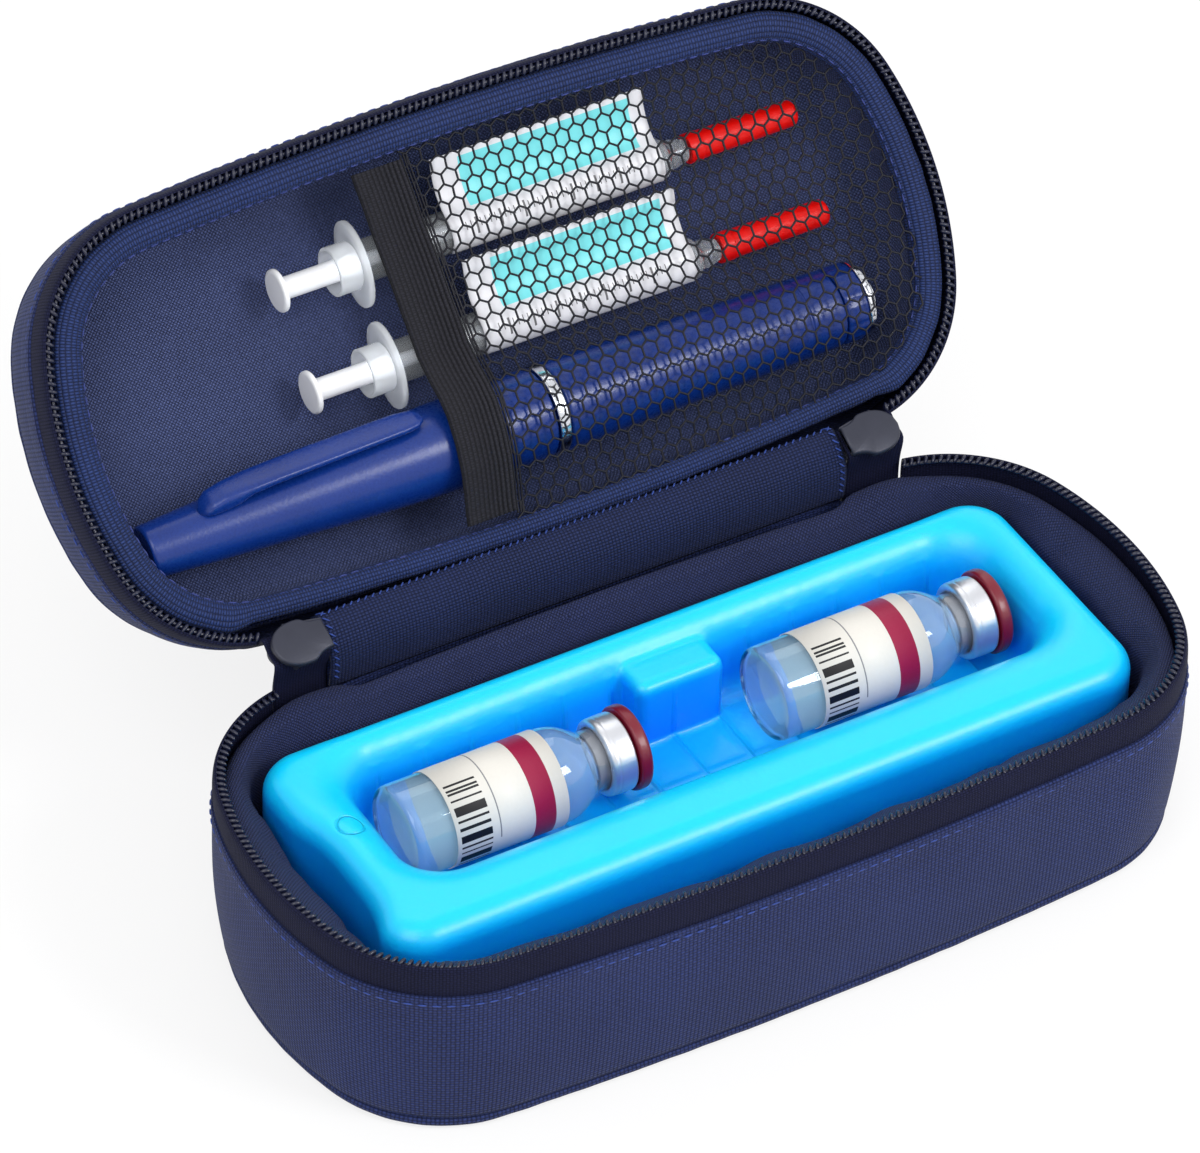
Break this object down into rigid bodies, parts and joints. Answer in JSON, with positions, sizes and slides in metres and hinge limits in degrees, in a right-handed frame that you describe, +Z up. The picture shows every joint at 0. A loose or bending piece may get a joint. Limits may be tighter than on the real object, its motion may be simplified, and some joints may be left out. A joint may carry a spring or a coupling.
{
  "type": "insulin cooling case",
  "caption": "Soft zipped clamshell case, open, with a blue cold pack recessed for vials in its base and a net pocket holding syringes and an injection pen in its lid.",
  "frame": {"origin": "middle of the bottom panel, on the face the case stands on", "axes": "+X along the case to the right, +Y to the hinge at the back, +Z up"},
  "size_m": [0.2092, 0.1808, 0.1275],
  "materials": {
    "outer_cloth": "coarse navy weave",
    "lining_cloth": "smooth navy lining",
    "binding_cloth": "ribbed royal navy tape",
    "zip_tape": "dark tape",
    "zip_nylon": "moulded coil",
    "foam": "soft closed foam",
    "slider_metal": "satin dark grey",
    "net": "black net",
    "elastic": "ribbed elastic",
    "pack_plastic": "bright blue, satin",
    "gel": "frozen gel",
    "glass": "clear",
    "liquid": "clear liquid",
    "stopper_rubber": "grey rubber",
    "crimp_metal": "satin",
    "flip_plastic": "maroon",
    "label_paper": "off-white, plain",
    "clear_plastic": "clear",
    "white_plastic": "white",
    "needle_steel": "bright",
    "red_plastic": "red",
    "card_paper": "white card, plain teal block",
    "pen_plastic": "royal navy, satin",
    "chrome": "bright"
  },
  "bodies": {
    "base": {"base_bottom_panel": "outer_cloth", "hinge_cloth": "outer_cloth", "hinge_lining": "lining_cloth", "base_side_wall": "outer_cloth", "base_piping": "outer_cloth", "base_foam": "foam", "base_lining": "lining_cloth", "base_zip_tape": "zip_tape", "base_zip_coil": "zip_nylon"},
    "lid": {"lid_top_panel": "outer_cloth", "lid_binding": "binding_cloth", "pocket_net": "net", "pocket_elastic": "elastic", "pen_cap": "pen_plastic", "pen_clip": "pen_plastic", "pen_ring": "chrome", "pen_body": "pen_plastic", "lid_side_wall": "outer_cloth", "lid_piping": "outer_cloth", "lid_foam": "foam", "lid_lining": "lining_cloth", "lid_zip_tape": "zip_tape", "lid_zip_coil": "zip_nylon"},
    "cold_pack": {"cold_pack_shell": "pack_plastic", "cold_pack_gel": "gel", "cold_pack_plug": "pack_plastic"},
    "pen_knob": {"pen_knob": "pen_plastic"},
    "pen_button": {"pen_button": "chrome"},
    "slider_left": {"left_slider": "slider_metal"},
    "pull_left": {"left_pull": "slider_metal"},
    "vial_left": {"vial_left_glass": "glass", "vial_left_liquid": "liquid", "vial_left_stopper": "stopper_rubber", "vial_left_crimp": "crimp_metal", "vial_left_flip_cap": "flip_plastic", "vial_left_label": "label_paper"},
    "slider_right": {"right_slider": "slider_metal"},
    "pull_right": {"right_pull": "slider_metal"},
    "vial_right": {"vial_right_glass": "glass", "vial_right_liquid": "liquid", "vial_right_stopper": "stopper_rubber", "vial_right_crimp": "crimp_metal", "vial_right_flip_cap": "flip_plastic", "vial_right_label": "label_paper"},
    "syringe_upper": {"syringe_upper_barrel": "clear_plastic", "syringe_upper_hub": "clear_plastic", "syringe_upper_needle": "needle_steel", "syringe_upper_needle_cap": "red_plastic", "syringe_upper_card": "card_paper"},
    "plunger_upper": {"syringe_upper_plunger": "white_plastic"},
    "syringe_lower": {"syringe_lower_barrel": "clear_plastic", "syringe_lower_hub": "clear_plastic", "syringe_lower_needle": "needle_steel", "syringe_lower_needle_cap": "red_plastic", "syringe_lower_card": "card_paper"},
    "plunger_lower": {"syringe_lower_plunger": "white_plastic"}
  },
  "joints": [
    {"name": "lid_hinge", "type": "hinge", "parent": "base", "child": "lid", "pos_m": [0, 0.0505, 0.0496], "axis": [-1, 0, 0], "range_deg": [-130, 20], "deforming": ["hinge_cloth", "hinge_lining"]},
    {"name": "cold_pack_lift", "type": "slide", "parent": "base", "child": "cold_pack", "axis": [0, 0, 1], "range_m": [0, 0.06]},
    {"name": "slider_left_turn", "type": "hinge", "parent": "base", "child": "slider_left", "pos_m": [0, 0.0505, 0.0496], "axis": [-1, 0, 0], "range_deg": [-65, 10]},
    {"name": "pull_left_swing", "type": "hinge", "parent": "slider_left", "child": "pull_left", "pos_m": [-0.06855, 0.05057, 0.04944], "axis": [-1, 0, 0], "range_deg": [-40, 8]},
    {"name": "vial_left_lift", "type": "slide", "parent": "cold_pack", "child": "vial_left", "axis": [0, 0, 1], "range_m": [0, 0.04]},
    {"name": "slider_right_turn", "type": "hinge", "parent": "base", "child": "slider_right", "pos_m": [0, 0.0505, 0.0496], "axis": [-1, 0, 0], "range_deg": [-65, 10]},
    {"name": "pull_right_swing", "type": "hinge", "parent": "slider_right", "child": "pull_right", "pos_m": [0.06855, 0.05057, 0.04944], "axis": [-1, 0, 0], "range_deg": [-40, 8]},
    {"name": "vial_right_lift", "type": "slide", "parent": "cold_pack", "child": "vial_right", "axis": [0, 0, 1], "range_m": [0, 0.04]},
    {"name": "syringe_upper_draw", "type": "slide", "parent": "lid", "child": "syringe_upper", "axis": [-1, 0, 0], "range_m": [0, 0.045]},
    {"name": "plunger_upper_push", "type": "slide", "parent": "syringe_upper", "child": "plunger_upper", "axis": [1, 0, 0], "range_m": [-0.03, 0.011]},
    {"name": "syringe_lower_draw", "type": "slide", "parent": "lid", "child": "syringe_lower", "axis": [-1, 0, 0], "range_m": [0, 0.045]},
    {"name": "plunger_lower_push", "type": "slide", "parent": "syringe_lower", "child": "plunger_lower", "axis": [1, 0, 0], "range_m": [-0.03, 0.011]},
    {"name": "pen_dose_turn", "type": "hinge", "parent": "lid", "child": "pen_knob", "pos_m": [0, 0.07409, 0.06792], "axis": [1, 0, 0], "range_deg": [0, 300]},
    {"name": "pen_button_press", "type": "slide", "parent": "pen_knob", "child": "pen_button", "axis": [-1, 0, 0], "range_m": [0, 0.002], "stiffness_N_per_m": 600}
  ],
  "couplings": [
    {"joint": "slider_left_turn", "follows": "lid_hinge", "ratio": 0.5},
    {"joint": "slider_right_turn", "follows": "lid_hinge", "ratio": 0.5}
  ]
}
